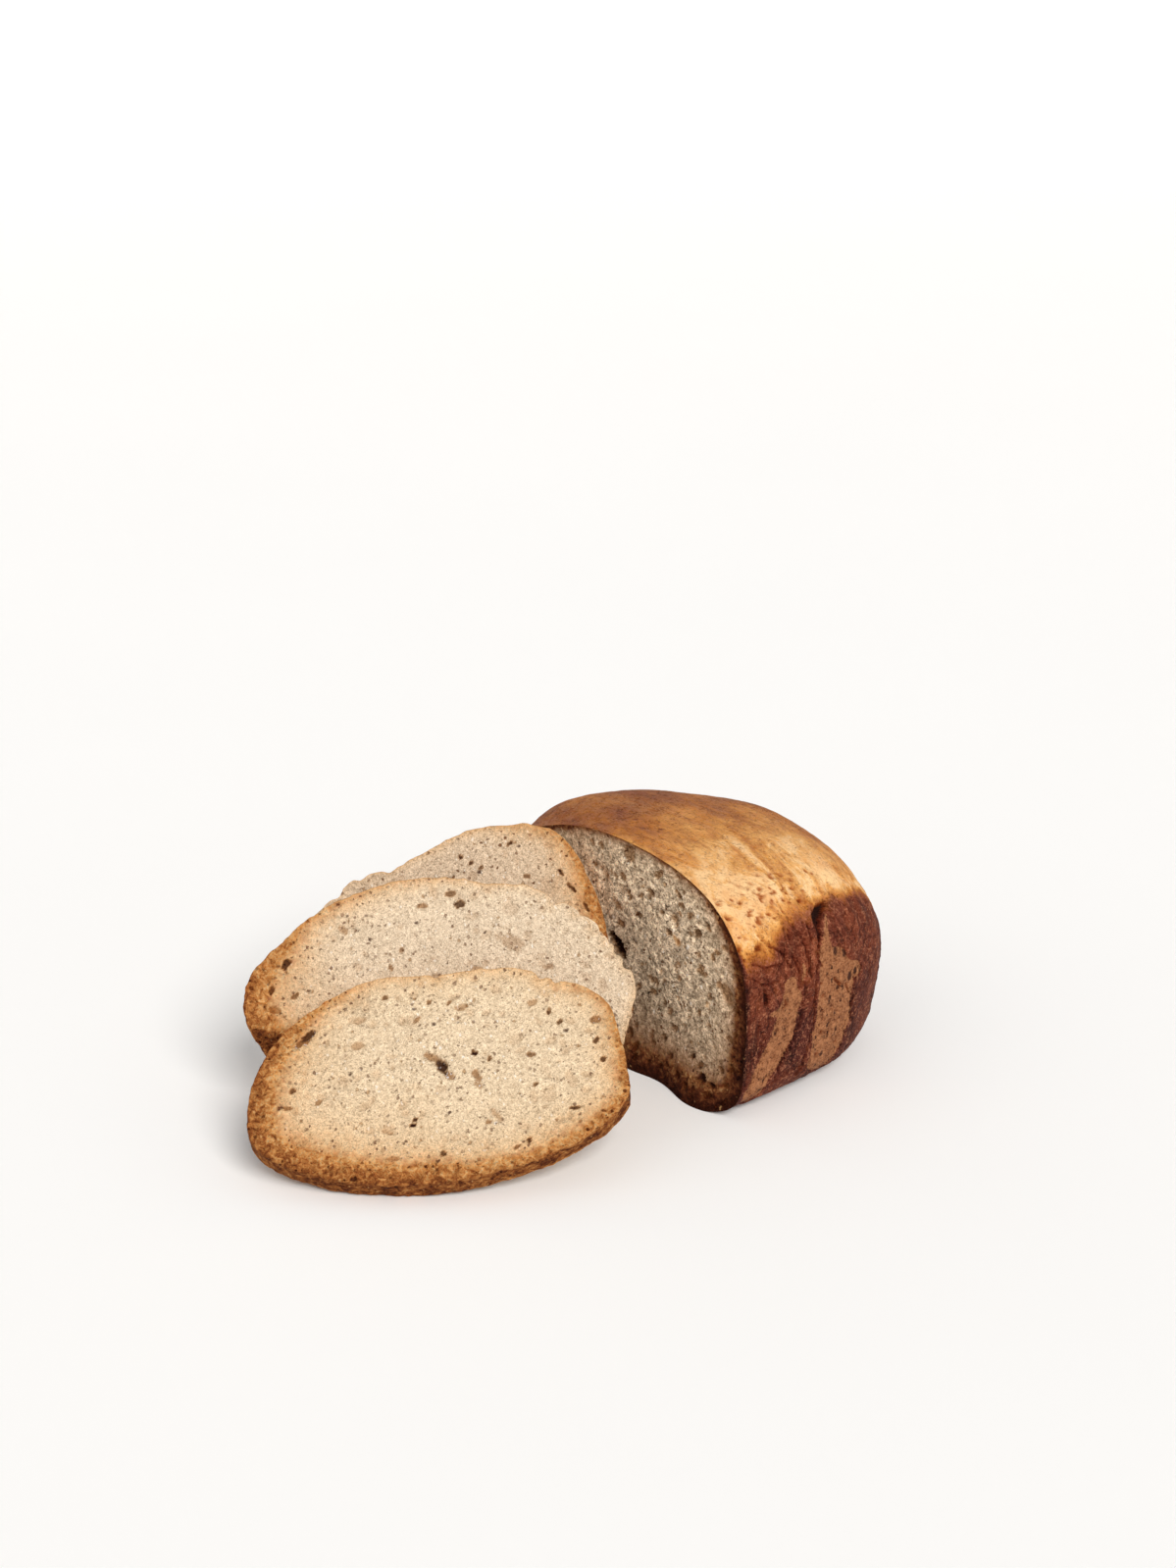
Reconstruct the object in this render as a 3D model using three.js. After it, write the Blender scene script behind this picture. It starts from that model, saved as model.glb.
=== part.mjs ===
// Tin loaf, part sliced: the uncut remainder of the loaf, and three slices that lean on one
// another and on the cut face. Millimetres, +Z up, the loaf lies along +Y with its cut face
// towards -Y. The origin is the middle of the whole group's footprint, on the table.
import * as THREE from "three";
import { mergeVertices } from "three/addons/utils/BufferGeometryUtils.js";

// ---- driving dimensions -------------------------------------------------------------------

const LOAF = {
  width: 135.2, // across the tin
  height: 86.7, // table to the top of the dome
  length: 92.3, // cut face to the far end
  shoulder: 35.7, // height at which the loaf is widest
  domeSquareness: 2.8, // superellipse exponent above the shoulder
  tinSquareness: 7.0, // superellipse exponent below it
  baseDrop: 1.4, // how far the lower curve runs past the table before it is cut flat
  wallTaper: 0.022, // how much narrower the tin is at its floor
  domeLean: -0.022, // the dome is a little higher on its left
  endSquareness: 3.7, // plan view of the far end
  domeEndSquareness: 3.0, // side view of the dome at the far end
  floorEndPower: 0.35, // how late the lower edge lifts at the far end
};

const SLICE_THICKNESS = 10.5;

// Each slice stands on its rounded lower edge and leans back. foot is the middle of that edge in
// plan, measured from the middle of the cut face. turn is the yaw of the slice, lean the angle of
// its face above the table, and roll how far it has rolled in its own plane, in degrees.
// squareness holds superellipse exponents: upper left, upper right, lower half. Each bump is
// [direction in degrees, height, width in degrees] of a swelling or a dent in the crust.
const SLICES = [
  {
    name: "slice_rear",
    foot: [-5.8, -58.4],
    turn: 53.6,
    lean: 55.2,
    roll: 20.4,
    left: 57.1,
    right: 63.6,
    height: 83.2,
    shoulder: 45.2,
    squareness: [1.85, 4.0, 2.4],
    bumps: [[52, 1.6, 9], [85, -2.0, 12], [110, 1.5, 6]],
  },
  {
    name: "slice_middle",
    foot: [0.3, -81.1],
    turn: 50.6,
    lean: 59.8,
    roll: -3.0,
    left: 67.5,
    right: 65.3,
    height: 85.1,
    shoulder: 41.0,
    squareness: [1.67, 2.3, 1.95],
    bumps: [
      [10, 1.2, 8], [-5, -1.0, 6], [26, -0.8, 8], [56, 0.8, 8],
      [72, -1.3, 8], [161, -1.2, 7], [136, 0.6, 8], [116, 0.6, 6],
    ],
  },
  {
    name: "slice_front",
    foot: [39.2, -105.8],
    turn: 46.6,
    lean: 38.5,
    roll: 9.4,
    left: 62.3,
    right: 63.3,
    height: 75.1,
    shoulder: 25.5,
    squareness: [2.25, 3.0, 1.8],
    bumps: [[27, 1.6, 8], [45, -1.9, 7], [112, 1.5, 12], [82, -0.8, 14]],
  },
];

const OUTLINE_STEPS = 132; // points round a slice
const RING_STEPS = 64; // points round the loaf
const STRAIGHT_RINGS = 8; // rings along the straight part of the loaf
const END_RINGS = 13; // rings that close its far end
const END_START = 0.72; // share of the length at which the far end begins to round

// ---- finishes -----------------------------------------------------------------------------

const crust = new THREE.MeshStandardMaterial({ color: 0xb5793f, roughness: 0.6, metalness: 0 });
const crumb = new THREE.MeshStandardMaterial({ color: 0xe0c49c, roughness: 0.9, metalness: 0 });

// ---- helpers ------------------------------------------------------------------------------

const radians = THREE.MathUtils.degToRad;

// sign(x) * |x|^power: the building block of a superellipse
function signedPower(x, power) {
  return Math.sign(x) * Math.abs(x) ** power;
}

// A closed body from its vertices and triangles, with doubled vertices joined.
function solid(vertices, triangles) {
  const geometry = new THREE.BufferGeometry();
  geometry.setAttribute("position", new THREE.Float32BufferAttribute(vertices, 3));
  geometry.setIndex(triangles);
  const merged = mergeVertices(geometry, 1e-4);
  merged.computeVertexNormals();
  return merged;
}

// ---- the loaf -----------------------------------------------------------------------------

// One point of the loaf's skin. angle goes round the section, along runs from 0 at the cut face
// to 1 at the far end. The section is half a tall superellipse above the shoulder and half a
// squarer one below it, and both shrink towards the far end.
function loafPoint(angle, along) {
  const cosine = Math.cos(angle);
  const sine = Math.sin(angle);
  const upper = sine >= 0;
  const power = 2 / (upper ? LOAF.domeSquareness : LOAF.tinSquareness);
  const plan = (1 - along ** LOAF.endSquareness) ** (1 / LOAF.endSquareness);
  const dome = (1 - along ** LOAF.domeEndSquareness) ** (1 / LOAF.domeEndSquareness);
  const rise = upper
    ? (LOAF.height - LOAF.shoulder) * dome
    : (LOAF.shoulder + LOAF.baseDrop) * plan ** LOAF.floorEndPower;
  const above = rise * signedPower(sine, power);
  const taper = 1 + LOAF.wallTaper * Math.min(above / LOAF.shoulder, 0);
  const x = (LOAF.width / 2) * signedPower(cosine, power) * taper * plan;
  const z = Math.max(LOAF.shoulder + above, 0);
  return [x, along * LOAF.length, z + (LOAF.domeLean * x * z) / LOAF.height];
}

// The loaf: rings of its skin, a fan that closes the cut face, and a pole at the far end.
function makeLoaf() {
  const stations = [];
  for (let i = 0; i < STRAIGHT_RINGS; i++) stations.push((END_START * i) / STRAIGHT_RINGS);
  for (let i = 0; i < END_RINGS; i++) {
    const left = (1 - END_START) * (1 - i / END_RINGS) ** 2;
    stations.push(1 - left);
  }
  const vertices = [];
  for (const along of stations) {
    for (let j = 0; j < RING_STEPS; j++) {
      vertices.push(...loafPoint((2 * Math.PI * (j + 0.5)) / RING_STEPS, along));
    }
  }
  const ring = (i, j) => i * RING_STEPS + (j % RING_STEPS);
  const triangles = [];
  for (let i = 0; i < stations.length - 1; i++) {
    for (let j = 0; j < RING_STEPS; j++) {
      triangles.push(ring(i, j), ring(i + 1, j), ring(i, j + 1));
      triangles.push(ring(i, j + 1), ring(i + 1, j), ring(i + 1, j + 1));
    }
  }
  const cutCentre = vertices.length / 3;
  vertices.push(0, 0, LOAF.shoulder);
  const farPole = cutCentre + 1;
  vertices.push(0, LOAF.length, LOAF.shoulder);
  const last = stations.length - 1;
  for (let j = 0; j < RING_STEPS; j++) {
    triangles.push(cutCentre, ring(0, j), ring(0, j + 1));
    triangles.push(farPole, ring(last, j + 1), ring(last, j));
  }
  const mesh = new THREE.Mesh(solid(vertices, triangles), crust);
  mesh.name = "loaf";
  return mesh;
}

// ---- the slices ---------------------------------------------------------------------------

// Distance from the middle of a slice to its crust in one direction: a superellipse with its own
// half width left and right, its own exponents above and below, and a few swellings and dents.
function crustRadius(slice, angle) {
  const cosine = Math.cos(angle);
  const sine = Math.sin(angle);
  const [upperLeft, upperRight, lower] = slice.squareness;
  const halfWidth = cosine >= 0 ? slice.right : slice.left;
  const halfHeight = sine >= 0 ? slice.height - slice.shoulder : slice.shoulder;
  const upper = cosine >= 0 ? upperRight : upperLeft;
  const power = sine >= 0 ? upper : lower;
  let radius = (Math.abs(cosine / halfWidth) ** power + Math.abs(sine / halfHeight) ** power) ** (-1 / power);
  for (const [direction, height, width] of slice.bumps) {
    const turned = THREE.MathUtils.euclideanModulo((angle * 180) / Math.PI - direction + 180, 360) - 180;
    radius += height * Math.exp(-((turned / width) ** 2));
  }
  return radius;
}

// A slice: its outline extruded to its thickness, rolled, leaned back, turned and let down until
// its lowest point touches the table.
function makeSlice(slice) {
  const outline = [];
  for (let i = 0; i < OUTLINE_STEPS; i++) {
    const angle = (2 * Math.PI * i) / OUTLINE_STEPS;
    const radius = crustRadius(slice, angle);
    outline.push(new THREE.Vector2(radius * Math.cos(angle), slice.shoulder + radius * Math.sin(angle)));
  }
  const geometry = new THREE.ExtrudeGeometry(new THREE.Shape(outline), {
    depth: SLICE_THICKNESS,
    bevelEnabled: false,
  });
  geometry.rotateZ(radians(slice.roll));
  const mesh = new THREE.Mesh(geometry, crumb);
  mesh.name = slice.name;
  mesh.rotation.set(radians(slice.lean), 0, radians(slice.turn), "ZYX");
  mesh.position.set(slice.foot[0], slice.foot[1], 0);
  mesh.position.z = -new THREE.Box3().setFromObject(mesh, true).min.z;
  return mesh;
}

// ---- the group ----------------------------------------------------------------------------

const tinLoaf = new THREE.Group();
tinLoaf.add(makeLoaf());
for (const slice of SLICES) tinLoaf.add(makeSlice(slice));

// The origin goes to the middle of the footprint.
const extent = new THREE.Box3().setFromObject(tinLoaf, true);
const middle = extent.getCenter(new THREE.Vector3());
tinLoaf.position.set(-middle.x, -middle.y, 0);

export default tinLoaf;
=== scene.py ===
import math

import bpy
import numpy as np
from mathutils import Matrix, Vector


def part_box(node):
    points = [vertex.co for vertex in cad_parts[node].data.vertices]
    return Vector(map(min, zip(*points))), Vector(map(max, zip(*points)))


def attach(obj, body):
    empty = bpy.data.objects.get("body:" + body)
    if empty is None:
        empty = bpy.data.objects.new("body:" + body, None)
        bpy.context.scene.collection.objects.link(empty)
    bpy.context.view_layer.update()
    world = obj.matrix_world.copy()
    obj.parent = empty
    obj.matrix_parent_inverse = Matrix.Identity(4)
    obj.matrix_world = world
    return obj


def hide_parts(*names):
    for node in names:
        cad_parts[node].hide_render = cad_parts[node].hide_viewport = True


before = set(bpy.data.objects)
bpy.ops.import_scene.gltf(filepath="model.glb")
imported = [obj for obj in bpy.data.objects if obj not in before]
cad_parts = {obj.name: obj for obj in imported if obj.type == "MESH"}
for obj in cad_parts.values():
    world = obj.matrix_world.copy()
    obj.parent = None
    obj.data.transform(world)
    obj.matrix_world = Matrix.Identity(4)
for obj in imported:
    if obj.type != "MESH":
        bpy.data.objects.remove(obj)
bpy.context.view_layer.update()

# ---- the uncut loaf ------------------------------------------------------------------------
# What is left of a tin loaf: one piece of dough, risen above its tin and baked to a golden dome,
# with darker, creased walls where the tin held it. Its crust is one closed skin, and the knife
# has left a flat face of open crumb at the near end.

MM = 0.001  # one millimetre, in metres


def lattice(i, j, k, seed):
    """A number from 0 to 1 for each corner of a cubic lattice: the corner's three whole numbers
    and the seed are multiplied by large odd numbers, added, and their bits folded together."""
    mixed = (i * 374761393 + j * 668265263 + k * 1440662683 + seed * 974634777) & 0xFFFFFFFF
    mixed = ((mixed ^ (mixed >> 13)) * 1274126177) & 0xFFFFFFFF
    mixed = mixed ^ (mixed >> 16)
    return (mixed & 0xFFFFFF) / 0xFFFFFF


def smooth(x):
    """0 below 0, 1 above 1, and 3x^2 - 2x^3 between."""
    x = np.clip(x, 0, 1)
    return x * x * (3 - 2 * x)


def rough(points, size, seed, layers=1):
    """Noise from -1 to 1 over points in mm: random numbers on a lattice of that size, blended
    with smooth weights. Each further layer has half the size and half the strength."""
    total = 0
    strength = 1
    whole = 0
    for layer in range(layers):
        place = points / size
        corner = np.floor(place).astype(np.int64)
        weight = smooth(place - corner)
        for step in range(8):
            di, dj, dk = step & 1, (step >> 1) & 1, step >> 2
            value = lattice(corner[..., 0] + di, corner[..., 1] + dj, corner[..., 2] + dk, seed + layer)
            share = np.where(di, weight[..., 0], 1 - weight[..., 0])
            share = share * np.where(dj, weight[..., 1], 1 - weight[..., 1])
            share = share * np.where(dk, weight[..., 2], 1 - weight[..., 2])
            total = total + strength * share * (2 * value - 1)
        whole += strength
        strength *= 0.5
        size = size * 0.5
    return total / whole


def bubbles(plane, size, seed, share, stretch=1.7):
    """Depth from 0 to 1 of round and oval bubbles cut by a plane: each square of the given size
    holds one bubble with a random middle, radius, slant and stretch, or none, and a point's
    depth is that of the deepest bubble over it, sqrt(1 - (distance / radius)^2)."""
    place = plane / size
    corner = np.floor(place).astype(np.int64)
    deepest = np.zeros(len(plane))
    for di in (-1, 0, 1):
        for dj in (-1, 0, 1):
            i, j = corner[:, 0] + di, corner[:, 1] + dj
            across = place[:, 0] - i - lattice(i, j, i * 0, seed)
            up = place[:, 1] - j - lattice(i, j, i * 0 + 1, seed)
            slant = math.pi * lattice(i, j, i * 0 + 2, seed)
            longer = 1 + (stretch - 1) * lattice(i, j, i * 0 + 3, seed)
            radius = 0.16 + 0.34 * lattice(i, j, i * 0 + 4, seed) ** 2
            there = lattice(i, j, i * 0 + 5, seed) < share
            along = (across * np.cos(slant) + up * np.sin(slant)) / longer
            beside = across * np.sin(slant) - up * np.cos(slant)
            inside = np.clip(1 - (along**2 + beside**2) / radius**2, 0, 1)
            deepest = np.maximum(deepest, there * np.sqrt(inside) * radius / 0.5)
    return deepest


def stroke(y, z, path):
    """How far inside a drawn stroke each point is, in mm, negative outside. The path is a row of
    [y, z, half width], and both its line and its half width run straight between its points."""
    best = np.full(np.shape(y), -1e9)
    for (y0, z0, w0), (y1, z1, w1) in zip(path[:-1], path[1:]):
        dy, dz = y1 - y0, z1 - z0
        t = np.clip(((y - y0) * dy + (z - z0) * dz) / (dy * dy + dz * dz + 1e-9), 0, 1)
        gap = np.hypot(y - y0 - t * dy, z - z0 - t * dz)
        best = np.maximum(best, w0 + (w1 - w0) * t - gap)
    return best


def coons(ring, across, up):
    """A grid of points that fills a closed ring: the ring is read as the four sides of a sheet,
    and each point is the blend of the two sides left and right of it and the two above and
    below it, less the blend of the four corners."""
    bottom = ring[: across + 1]
    right = ring[across : across + up + 1]
    top = ring[across + up : 2 * across + up + 1][::-1]
    left = np.concatenate([ring[2 * across + up :], ring[:1]])[::-1]
    s = np.linspace(0, 1, across + 1)[None, :, None]
    t = np.linspace(0, 1, up + 1)[:, None, None]
    sheet = (1 - t) * bottom[None] + t * top[None] + (1 - s) * left[:, None] + s * right[:, None]
    corners = (1 - t) * ((1 - s) * bottom[0] + s * bottom[-1]) + t * ((1 - s) * top[0] + s * top[-1])
    return sheet - corners


def sheet_index(across, up, ring_start, inner_start):
    """The vertex number of each point of a coons sheet, whose edge is a ring of vertices that
    another surface shares and whose inside has vertices of its own."""
    index = np.zeros((up + 1, across + 1), np.int64)
    ring = ring_start + np.arange(2 * (across + up))
    index[0, :] = ring[: across + 1]
    index[:, -1] = ring[across : across + up + 1]
    index[-1, ::-1] = ring[across + up : 2 * across + up + 1]
    index[1:, 0] = ring[2 * across + up :][::-1]
    index[1:-1, 1:-1] = inner_start + np.arange((up - 1) * (across - 1)).reshape(up - 1, across - 1)
    return index


def squares(index):
    """The four-cornered faces of a grid of vertex numbers, anticlockwise."""
    corners = [index[:-1, :-1], index[:-1, 1:], index[1:, 1:], index[1:, :-1]]
    return np.stack(corners, -1).reshape(-1, 4)


def wrapped(index):
    """A grid of vertex numbers that goes once round and ends where it began."""
    return np.concatenate([index, index[:, :1]], 1)


def in_space(plane):
    """Points of a plane with a third coordinate of 0, as the noise reads them."""
    return np.concatenate([plane, np.zeros((len(plane), 1))], 1)


def even_ring(points, count, start):
    """The numbers, whole and part, of `count` places evenly spaced round a closed line of points,
    the first of them at the point numbered start."""
    closed = np.concatenate([points, points[:1]])
    walked = np.concatenate([[0], np.cumsum(np.linalg.norm(np.diff(closed, axis=0), axis=1))])
    wanted = (walked[start] + walked[-1] * np.arange(count) / count) % walked[-1]
    return np.interp(wanted, walked, np.arange(len(walked)))


def nearest(points, line):
    """The distance in mm from each point of a plane to the nearest point of a line."""
    gaps = [
        np.sqrt(((part[:, None] - line[None]) ** 2).sum(-1)).min(1)
        for part in np.array_split(points, max(1, len(points) // 2000))
    ]
    return np.concatenate(gaps)


def make_piece(name, points, faces, triangles, marks, finishes):
    """A mesh object at the origin from its points in mm, its four-cornered faces, its triangles,
    and one number per vertex for each mark that the finish reads. Every face starts with the
    first of the finishes."""
    mesh = bpy.data.meshes.new(name)
    corner_count = faces.size + triangles.size
    mesh.vertices.add(len(points))
    mesh.vertices.foreach_set("co", (points * MM).astype(np.float32).ravel())
    mesh.loops.add(corner_count)
    corners = np.concatenate([faces.ravel(), triangles.ravel()]).astype(np.int32)
    mesh.loops.foreach_set("vertex_index", corners)
    starts = np.concatenate([4 * np.arange(len(faces)), faces.size + 3 * np.arange(len(triangles))])
    mesh.polygons.add(len(starts))
    mesh.polygons.foreach_set("loop_start", starts.astype(np.int32))
    mesh.update(calc_edges=True)
    mesh.polygons.foreach_set("use_smooth", np.ones(len(starts), bool))
    for mark, values in marks.items():
        layer = mesh.attributes.new(mark, "FLOAT", "POINT")
        layer.data.foreach_set("value", values.astype(np.float32))
    mesh.validate()
    for finish in finishes:
        mesh.materials.append(finish)
    piece = bpy.data.objects.new(name, mesh)
    bpy.context.scene.collection.objects.link(piece)
    return piece


class Term:
    """One output socket of a finish, so that + - * / and max on it add the nodes that do them."""

    def __init__(self, finish, socket):
        self.finish = finish
        self.socket = socket

    def maths(self, operation, first, second=0.0):
        settings = {"operation": operation}
        return self.finish.node("ShaderNodeMath", settings, {0: first, 1: second})

    def __add__(self, other):
        return self.maths("ADD", self, other)

    __radd__ = __add__

    def __sub__(self, other):
        return self.maths("SUBTRACT", self, other)

    def __rsub__(self, other):
        return self.maths("SUBTRACT", other, self)

    def __mul__(self, other):
        return self.maths("MULTIPLY", self, other)

    __rmul__ = __mul__

    def __truediv__(self, other):
        return self.maths("DIVIDE", self, other)

    def most(self, other):
        return self.maths("MAXIMUM", self, other)

    def clamp(self):
        return self.finish.node("ShaderNodeClamp", {}, {"Value": self})


class Finish:
    """A material of one matt or satin surface, built from nodes."""

    def __init__(self, name):
        self.material = bpy.data.materials.new(name)
        self.material.use_nodes = True
        self.tree = self.material.node_tree
        self.tree.nodes.clear()
        self.place = self.node("ShaderNodeTexCoord", {}, {}, "Object")

    def node(self, kind, settings, inputs, output=0):
        """Adds a node, gives it its settings and then its inputs, and returns one output."""
        node = self.tree.nodes.new(kind)
        for name, value in settings.items():
            if name == "stops":
                while len(node.color_ramp.elements) < len(value):
                    node.color_ramp.elements.new(1.0)
                for element, (position, colour) in zip(node.color_ramp.elements, value):
                    element.position = position
                    element.color = (*colour, 1.0)
            else:
                setattr(node, name, value)
        for name, value in inputs.items():
            if isinstance(value, Term):
                self.tree.links.new(value.socket, node.inputs[name])
            else:
                node.inputs[name].default_value = value
        return Term(self, node.outputs[output]) if node.outputs else None

    def mark(self, name):
        """A number kept at each vertex."""
        return self.node("ShaderNodeAttribute", {"attribute_name": name}, {}, "Fac")

    def stretched(self, scale, turn=(0, 0, 0), place=None):
        """Object coordinates, turned and then scaled differently each way."""
        inputs = {"Vector": place or self.place, "Scale": scale, "Rotation": turn}
        return self.node("ShaderNodeMapping", {}, inputs)

    def wander(self, per_metre, reach):
        """Object coordinates that wander by up to half of reach, so that specks get torn edges."""
        inputs = {"Vector": self.place, "Scale": per_metre, "Detail": 2.0}
        drift = self.node("ShaderNodeTexNoise", {}, inputs, "Color")
        inputs = {0: drift, 1: (reach, reach, reach), 2: self.place}
        return self.node("ShaderNodeVectorMath", {"operation": "MULTIPLY_ADD"}, inputs)

    def noise(self, per_metre, detail=3.0, place=None, warp=0.0):
        """Cloudy noise from about 0.2 to 0.8, with that many clouds in a metre."""
        inputs = {
            "Vector": place or self.place,
            "Scale": per_metre,
            "Detail": detail,
            "Roughness": 0.6,
            "Distortion": warp,
        }
        return self.node("ShaderNodeTexNoise", {}, inputs)

    def contrast(self, value, centre, spread):
        """0 at centre - spread and 1 at centre + spread, straight between and level outside."""
        return ((value - (centre - spread)) / (2 * spread)).clamp()

    def specks(self, per_metre, smallest, largest, sharp=6.0, place=None):
        """Round specks, one or none to each cell: 1 inside and 0 outside, with random radii."""
        inputs = {"Vector": place or self.place, "Scale": per_metre}
        distance = self.node("ShaderNodeTexVoronoi", {}, inputs, "Distance")
        colour = self.node("ShaderNodeTexVoronoi", {}, inputs, "Color")
        chance = self.node("ShaderNodeSeparateColor", {}, {"Color": colour}, 0)
        radius = smallest + chance * (largest - smallest)
        return ((radius - distance) * sharp).clamp()

    def mix(self, share, first, second):
        """The first colour at share 0 and the second at 1."""
        def colour(value):
            return value if isinstance(value, Term) else (*value, 1.0)

        settings = {"data_type": "RGBA"}
        inputs = {0: share, 6: colour(first), 7: colour(second)}
        return self.node("ShaderNodeMix", settings, inputs, 2)

    def shade(self, share, colour, tint):
        """A colour multiplied by a tint, as far as share says."""
        settings = {"data_type": "RGBA", "blend_type": "MULTIPLY"}
        return self.node("ShaderNodeMix", settings, {0: share, 6: colour, 7: (*tint, 1.0)}, 2)

    def ramp(self, value, stops):
        """A colour read from a row of (value, colour) stops."""
        return self.node("ShaderNodeValToRGB", {"stops": stops}, {"Fac": value})

    def times(self, colour, value):
        """A colour made brighter or darker by a number."""
        inputs = {0: colour, "Scale": value}
        return self.node("ShaderNodeVectorMath", {"operation": "SCALE"}, inputs)

    def close(self, colour, roughness, height, depth, gloss):
        """The shader itself: colour, roughness, a bump of that depth in metres, and gloss."""
        inputs = {"Strength": 1.0, "Distance": depth, "Height": height}
        normal = self.node("ShaderNodeBump", {}, inputs)
        inputs = {
            "Base Color": colour,
            "Roughness": roughness,
            "Normal": normal,
            "Specular IOR Level": gloss,
        }
        shader = self.node("ShaderNodeBsdfPrincipled", {}, inputs)
        self.node("ShaderNodeOutputMaterial", {}, {"Surface": shader})
        return self.material


def crumb_finish(name, pale, deep, tones, speckle, contrast, clump=1.0, dense=(0.135, 0.049, 0.026)):
    """Open crumb with its baked edge. The marks are toast, 0 in the crumb to 1 at a dark crust;
    golden, 1 on crust that rose clear of the tin; a mark of painted shade inside holes, 0 on the cut
    to 1 deep in a hole; dense, 1 where painted shade darkens the crumb towards the dense colour; and
    floury, 1 where a hole's inside is whitish. Pale and deep are the crumb's own colours and tones the
    rind's. Speckle says how dark its pricks are, contrast how strongly its grain shows, and clump how
    coarse that grain is."""
    finish = Finish(name)
    toast = finish.mark("toast")
    hollow = finish.mark("hollow")
    clouds = finish.noise(60, 3.0)
    curd = finish.noise(800 / clump, 4.0, warp=0.7)
    fine = finish.noise(2100 / clump, 2.0)
    torn = finish.wander(1100 / clump, 0.0014 * clump)
    grain = (curd - 0.5) * 2.4 * clump + (fine - 0.5) * (3.2 / clump**2) + (clouds - 0.5) * 0.5
    body = finish.mix((grain * 0.5 + 0.56).clamp(), deep, pale)
    # Painted shade: the crumb darkened towards the dense colour where the dense mark says.
    body = finish.mix(finish.mark("dense"), body, dense)
    body = finish.times(body, 1 + contrast * grain)
    foam = finish.specks(1050 / clump, 0.22, 0.36, 6.0, torn)
    body = finish.shade(foam * 0.40, body, (0.80, 0.67, 0.54))
    flour = finish.specks(560 / clump, -0.40, 0.36, 7.0, finish.stretched((1, 1.5, 0.7), place=torn))
    body = finish.mix(flour * 0.8, body, (0.99, 0.92, 0.82))
    cells = finish.specks(360 / clump, -0.48, 0.33, 7.0, torn)
    body = finish.shade(cells * 0.85, body, (0.56, 0.43, 0.30))
    seeded = finish.contrast(finish.noise(150, 2.0), 0.48, 0.10) * 0.65 + 0.35
    pricks = finish.specks(620, -0.30, 0.44, 8.0, torn) * seeded
    body = finish.mix(pricks * speckle, body, (0.22, 0.110, 0.055))
    slots = finish.specks(260, -0.85, 0.25, 8.0, finish.stretched((1.0, 0.7, 1.2), place=torn))
    body = finish.mix(slots * 0.9, body, (0.080, 0.032, 0.020))
    coarse = (finish.noise(420, 4.0, warp=0.8) - 0.5) * 3.2
    baked = (toast + (grain * 0.30 + coarse * 0.45) * (toast * 2.2).clamp()).clamp()
    rind = finish.ramp(baked, tones)
    rind = finish.times(rind, 1 + grain * 0.5)
    rind = finish.mix(flour * 0.35, rind, (0.90, 0.54, 0.22))
    rind = finish.shade((cells + foam * 0.4).clamp() * 0.8, rind, (0.46, 0.29, 0.19))
    rind = finish.shade((pricks + slots).clamp() * 0.95, rind, (0.22, 0.11, 0.08))
    colour = finish.mix((toast * 2.6).clamp(), body, rind)
    gold = finish.mix((grain * 0.5 + coarse * 0.3 + 0.5).clamp(), (0.52, 0.215, 0.060), (0.86, 0.50, 0.20))
    colour = finish.mix(finish.mark("golden"), colour, gold)
    # Painted shade inside holes: tawny where shallow, near black where deep.
    hole_shade_colour = finish.shade(0.9, colour, (0.50, 0.35, 0.23))
    colour = finish.mix((hollow * 2).clamp(), colour, hole_shade_colour)
    colour = finish.mix((hollow * 2 - 1).clamp(), colour, (0.034, 0.010, 0.007))
    white = finish.specks(900, -0.05, 0.55, 5.0, torn)
    colour = finish.mix(finish.mark("floury") * white, colour, (0.80, 0.74, 0.72))
    height = curd + fine * 0.5 - foam * 0.25 - pricks * 0.6 - slots * 0.8 - cells * 0.5
    return finish.close(colour, 0.9, height, 0.0007 * clump, 0.04)


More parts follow.
